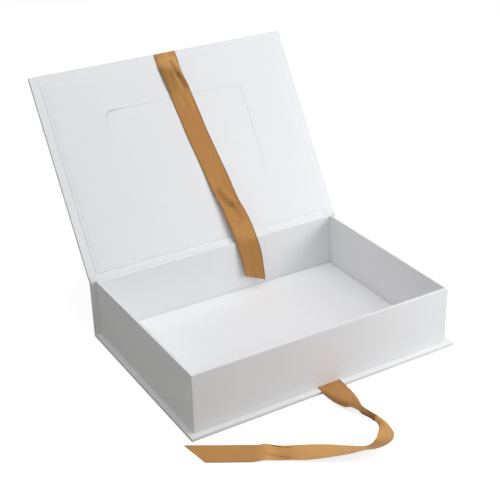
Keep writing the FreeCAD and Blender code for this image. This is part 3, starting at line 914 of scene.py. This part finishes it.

# %% [markdown]
# The ribbon's gold is a dyed cloth, not a metal, so it has a base colour and a tinted shine that is
# stretched along its threads. In the loop the ribbon is modelled as a turn in its own plane, and its
# folds are shallow, so the painted light kept with the mesh stands in for the light and shade that this
# leaves out: a painted highlight in the loop and on the tail, and painted shade in the deep folds of the
# neck, in the fold after the loop and in the valleys of the creases. Along each woven edge the colour is
# darker too, which is painted shade for the ribbon's edges.

# %% Satin finish
THREAD_HEIGHT = 0.00001
WAVE_HEIGHT = 0.003
gold_satin, tree, shader = new_material(
    "gold_satin", Roughness=0.5, Anisotropic=0.95,
    Specular_IOR_Level=1.0, Specular_Tint=(1.0, 0.74, 0.4, 1.0),
    Sheen_Weight=0.3, Sheen_Roughness=0.3, Sheen_Tint=(1.0, 0.72, 0.4, 1.0)
)
strip_map = add_node(tree, "ShaderNodeUVMap", {"uv_map": "strip"})
flat = add_node(tree, "ShaderNodeSeparateXYZ", Vector=strip_map.outputs[0])
weave = add_node(
    tree, "ShaderNodeGroup", {"node_tree": satin_weave}, Across=flat.outputs["X"], Along=flat.outputs["Y"]
)
painted_light = add_node(tree, "ShaderNodeAttribute", {"attribute_name": "painted_light"}).outputs["Fac"]
# Painted highlight where the painted light is above zero, painted shade where it is below.
paler = calculate(tree, "MAXIMUM", painted_light, 0.0)
darker = calculate(tree, "MAXIMUM", calculate(tree, "MULTIPLY", painted_light, -1.0), 0.0)
colour = mix_colours(tree, weave.outputs["Streak"], (0.40, 0.182, 0.05), (0.49, 0.235, 0.072))
# Darker along each woven edge: the woven edge is real, its darkness is painted shade for the ribbon's
# edges.
colour = mix_colours(tree, weave.outputs["Selvedge"], colour, (0.24, 0.10, 0.027))
# Paler colour for the painted highlight, then darker colour for the painted shade.
colour = mix_colours(tree, paler, colour, (0.70, 0.38, 0.125))
colour = mix_colours(tree, darker, colour, (0.13, 0.05, 0.012))
wave_height = calculate(tree, "MULTIPLY", weave.outputs["Wave"], WAVE_HEIGHT)
cloth_height = calculate(tree, "MULTIPLY_ADD", weave.outputs["Thread"], THREAD_HEIGHT, wave_height)
bump = add_node(tree, "ShaderNodeBump", Height=cloth_height, Distance=1.0, Strength=0.6)
tangent = add_node(tree, "ShaderNodeTangent", {"direction_type": "UV_MAP", "uv_map": "strip"})
set_inputs(tree, shader, Base_Color=colour, Normal=bump.outputs[0], Tangent=tangent.outputs[0])
print("finish:", gold_satin.name)

# %% [markdown]
# The base ribbon is glued under the tray. It comes out over the lip, is gathered and twisted where it had
# been knotted, turns back in a loop and lies along the table. Its stations repeat the route of the part's
# own ribbon: shares of the free length to the right, to the front and up from the table, then the
# direction across, the curl in degrees and the gather.

# %% Base ribbon route
BASE_RIBBON_OFFSET = 0.0016
BASE_RIBBON_LENGTH = 0.268
base_route_shares = [
    (-0.001, 0.078, 0.014, (1, 0, 0), -6, 0.96),
    (-0.002, 0.115, 0.016, (1, 0, -0.04), -12, 0.88),
    (-0.001, 0.147, 0.017, (0.99, 0, -0.14), -16, 0.72),
    (0.001, 0.171, 0.020, (0.96, 0, -0.27), -20, 0.54),
    (0.003, 0.193, 0.021, (0.95, 0, -0.3), -20, 0.45),
    (0.005, 0.221, 0.023, (0.97, 0, -0.2), -20, 0.37),
    (0.007, 0.249, 0.025, (1, 0, 0), -20, 0.27),
    (0.008, 0.275, 0.026, (0.7, 0, 0.6), -15, 0.22),
    (0.005, 0.300, 0.027, (0.6, -0.1, 0.75), -10, 0.28),
    (-0.003, 0.326, 0.028, (0.86, -0.34, 0.4), -5, 0.40),
    (-0.015, 0.349, 0.028, (0.84, -0.5, 0.25), 0, 0.55),
    (-0.028, 0.368, 0.028, (0.68, -0.66, 0.32), 4, 0.66),
    (-0.045, 0.381, 0.027, (0.4, -0.82, 0.42), 6, 0.79),
    (-0.068, 0.389, 0.026, (0.05, -0.87, 0.49), 5, 0.92),
    (-0.096, 0.387, 0.025, (-0.15, -0.85, 0.5), 0, 1),
    (-0.127, 0.372, 0.023, (-0.2, -0.85, 0.48), 0, 1),
    (-0.163, 0.351, 0.018, (-0.3, -0.88, 0.37), 0, 1),
    (-0.219, 0.313, 0.012, (-0.4, -0.9, 0.2), 0, 1),
    (-0.277, 0.275, 0.007, (-0.5, -0.86, 0.05), -5, 0.92),
    (-0.335, 0.237, 0.005, (-0.53, -0.85, 0.03), -12, 0.86),
    (-0.406, 0.196, 0.005, (-0.53, -0.85, 0), -8, 0.95),
    (-0.491, 0.143, 0.002, (-0.53, -0.85, 0), 0, 0.97),
    (-0.584, 0.085, 0.002, (-0.53, -0.85, 0), 0, 0.97),
]
tray_front = tray_low[1]
case_front = base_low[1]
glued_height = base_high[2] + GLUE_LINE / 2
base_stations = [
    ((BASE_RIBBON_OFFSET, y, glued_height), (1, 0, 0), 0, 1)
    for y in (tray_front + RIBBON_TUCK, tray_front, case_front)
]
for right, forward, rise, *section in base_route_shares:
    centre = (
        BASE_RIBBON_OFFSET + right * BASE_RIBBON_LENGTH,
        tray_front - forward * BASE_RIBBON_LENGTH,
        rise * BASE_RIBBON_LENGTH,
    )
    base_stations.append((centre, *section))
print("base ribbon stations:", len(base_stations))

# %% [markdown]
# A crease is two places on the flat ribbon, across and along it in millimetres, then its width and depth.
# Those at 60 to 90 are the small folds of the knot, and those near 230 are a pinch in its tail. The
# painted light is given as places along the ribbon, in millimetres, and its value there: a painted
# highlight in the loop, from 100 to 135, and on the tail, from 154 to 222, and painted shade in the folds
# of the neck, from 64 to 96, and in the fold after the loop, from 141 to 148.

# %% Base ribbon
BASE_RIBBON_SLANT = 0.0103
base_creases = [
    ((-12.5, 36), (-8.0, 64), 3.0, 1.5),
    ((-5.0, 60), (-3.0, 80), 1.1, 0.5),
    ((-2.0, 64), (-1.0, 92), 0.9, 0.6),
    ((1.4, 62), (1.0, 90), 0.9, 0.6),
    ((4.2, 58), (2.2, 82), 1.1, 0.6),
    ((-12.5, 236), (12.5, 238), 7.0, -1.5),
    ((-10.0, 232.5), (-6.1, 218), 1.5, 1.0),
    ((4.2, 240), (7.9, 218), 1.5, 1.0),
]
# Painted light along the base ribbon: painted highlight above zero, painted shade below.
base_painted_light = [
    (52, 0.0), (64, -0.15), (78, -0.3), (86, -0.65), (96, -0.7), (100, 0.7), (110, 1.0), (128, 1.0),
    (135, 0.2), (141, -0.35), (148, -0.35), (154, 0.45), (185, 0.5), (205, 0.4), (222, 0.1), (235, 0.0),
]
base_ribbon, base_ribbon_cut = ribbon_object(
    "base_ribbon_satin", base_stations, -BASE_RIBBON_SLANT, base_creases, base_painted_light
)
base_ribbon.data.materials.append(gold_satin)
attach(base_ribbon, "box")
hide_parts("base_ribbon")

# %% [markdown]
# The lid ribbon is glued under the liner. It is folded back flat at the front edge of the lid, hangs down
# across the photo opening and ends inside the tray. The fold is a half turn with close stations on both
# sides. On the lid the route is to the right and up from the hinge in shares of the lid's reach, and off
# the face in shares of the stand-off. In the tray it is to the right, in front of the back wall, and up
# from the floor.

# %% Lid ribbon route
FOLD_RADIUS = 0.00035
FOLD_MARGIN = 0.0006
RIBBON_STAND_OFF = 0.007
LIES_CLOSER = RIBBON_THICKNESS - CLOTH
WALL_GAP = 0.005
lid_route_shares = [
    (0.019, 0.968, 0.07, (1, 0.03, 0), 0, 1),
    (0.018, 0.949, 0.22, (1, 0.05, 0), -5, 1),
    (0.017, 0.925, 0.42, (1, 0.06, 0), -12, 0.98),
    (0.019, 0.893, 0.54, (1, 0.10, 0), -15, 0.94),
    (0.024, 0.855, 0.52, (1, 0.14, 0), 0, 0.90),
    (0.032, 0.813, 0.37, (1, 0.16, 0), 10, 0.95),
    (0.040, 0.770, 0.17, (1, 0.15, 0), 5, 0.98),
    (0.046, 0.723, 0.05, (1, 0.14, 0), 0, 1),
    (0.055, 0.644, 0.035, (1, 0.13, 0), 0, 1),
    (0.064, 0.559, 0.035, (1, 0.14, 0), 0, 1),
    (0.077, 0.475, 0.04, (1, 0.16, 0), 0, 1),
    (0.090, 0.385, 0.08, (1, 0.16, 0), 0, 1),
    (0.101, 0.296, 0.23, (1, 0.16, 0), 8, 1),
    (0.108, 0.221, 0.40, (1, 0.16, 0), 22, 0.96),
    (0.116, 0.169, 0.57, (1, 0.18, 0.02), 25, 0.92),
    (0.125, 0.113, 0.74, (1, 0.20, 0), 8, 1),
    (0.133, 0.056, 0.94, (1, 0.20, 0), 0, 1),
]
hanging_route_shares = [
    (0.107, 0.36, 0.995, (1, 0, 0.20), 0, 1),
    (0.123, 0.76, 0.639, (1, 0, 0.13), 5, 1),
    (0.134, 0.96, 0.200, (1, 0, 0.08), 10, 0.95),
]
tuck_shares = np.array([1, 0.5, 0])
fold_run_shares = np.array([12, 6, 3, 1.5])
glued_level = -LINER_CARD - GLUE_LINE / 2
exit_up = lid_reach - LINER_INSET
fold_up = lid_reach - FOLD_MARGIN - FOLD_RADIUS
turn = np.radians(np.arange(-90, 91, 30))
places_up = np.concatenate([
    exit_up - RIBBON_TUCK * tuck_shares,
    fold_up - FOLD_RADIUS * fold_run_shares,
    fold_up + FOLD_RADIUS * np.cos(turn),
    fold_up - FOLD_RADIUS * fold_run_shares[::-1],
])
under_fold = np.zeros(len(tuck_shares) + len(fold_run_shares))
over_fold = np.full(len(fold_run_shares), 2)
places_off = glued_level + FOLD_RADIUS * np.concatenate([under_fold, 1 + np.sin(turn), over_fold])
lid_stations = [(place, (1, 0, 0), 0, 1) for place in on_lid(LID_RIBBON_OFFSET, places_up, places_off)]
for right, up, off, direction, *section in lid_route_shares:
    centre = on_lid(right * lid_reach, up * lid_reach, off * RIBBON_STAND_OFF - LIES_CLOSER)
    lid_stations.append((centre, direction @ lid_axes, *section))
tray_width = tray_high[0] - tray_low[0]
inner_back = tray_high[1] - TRAY_WALL
for right, gap, up, *section in hanging_route_shares:
    centre = (right * tray_width, inner_back - gap * WALL_GAP, floor_top + up * (tray_rim - floor_top))
    lid_stations.append((centre, *section))
print("lid ribbon stations:", len(lid_stations))

# %% [markdown]
# The creases lie where the ribbon had been tied, near its top, and where it leaves the lid's face. Valleys
# have ridges beside them, and the valleys get painted shade and the ridges a painted highlight. Below the
# fold at the top the ribbon has a painted highlight and then a little painted shade. The ribbon bends
# between the lid and the tray when the lid moves, but here it is made only as it lies with the lid open:
# the place on the lid near the hinge is worked out but not used.

# %% Lid ribbon
LID_RIBBON_SLANT = 0.0075
BEND_ON_LID = (0.0, 0.013, 0.0066)
lid_creases = [
    ((-12.5, 55), (-12.5, 75), 4.5, 1.6),
    ((-12.5, 35), (-10.5, 52), 2.6, 0.6),
    ((1.0, 38), (-1.0, 50), 2.4, -0.7),
    ((3.0, 46), (5.0, 64), 2.2, 1.1),
    ((7.0, 44), (9.5, 60), 2.2, -0.7),
    ((6.5, 61), (7.9, 77), 2.0, 1.3),
    ((1.8, 60), (3.2, 76), 2.2, -0.6),
    ((-2.5, 58), (-4.5, 74), 2.4, 0.8),
    ((-4.3, 84.5), (-2.5, 95.0), 1.8, -0.6),
    ((5.7, 88.0), (6.9, 99.5), 1.8, -0.6),
    ((-6.0, 193), (0.5, 212), 4.0, 1.3),
    ((1.5, 196), (6.0, 210), 3.0, -0.6),
    ((1.5, 213), (4.5, 230), 2.8, 0.7),
]
# Painted light: a painted highlight at and just below the fold at the top, then a little painted shade.
lid_painted_light = [(36, 0.25), (44, 0.1), (56, -0.1), (70, -0.1), (84, 0.0)]
lid_ribbon, lid_ribbon_cut = ribbon_object(
    "lid_ribbon_satin", lid_stations, LID_RIBBON_SLANT, lid_creases, lid_painted_light
)
lid_ribbon.data.materials.append(gold_satin)
on_lid(*BEND_ON_LID)
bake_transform(lid_ribbon)
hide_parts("lid_ribbon")
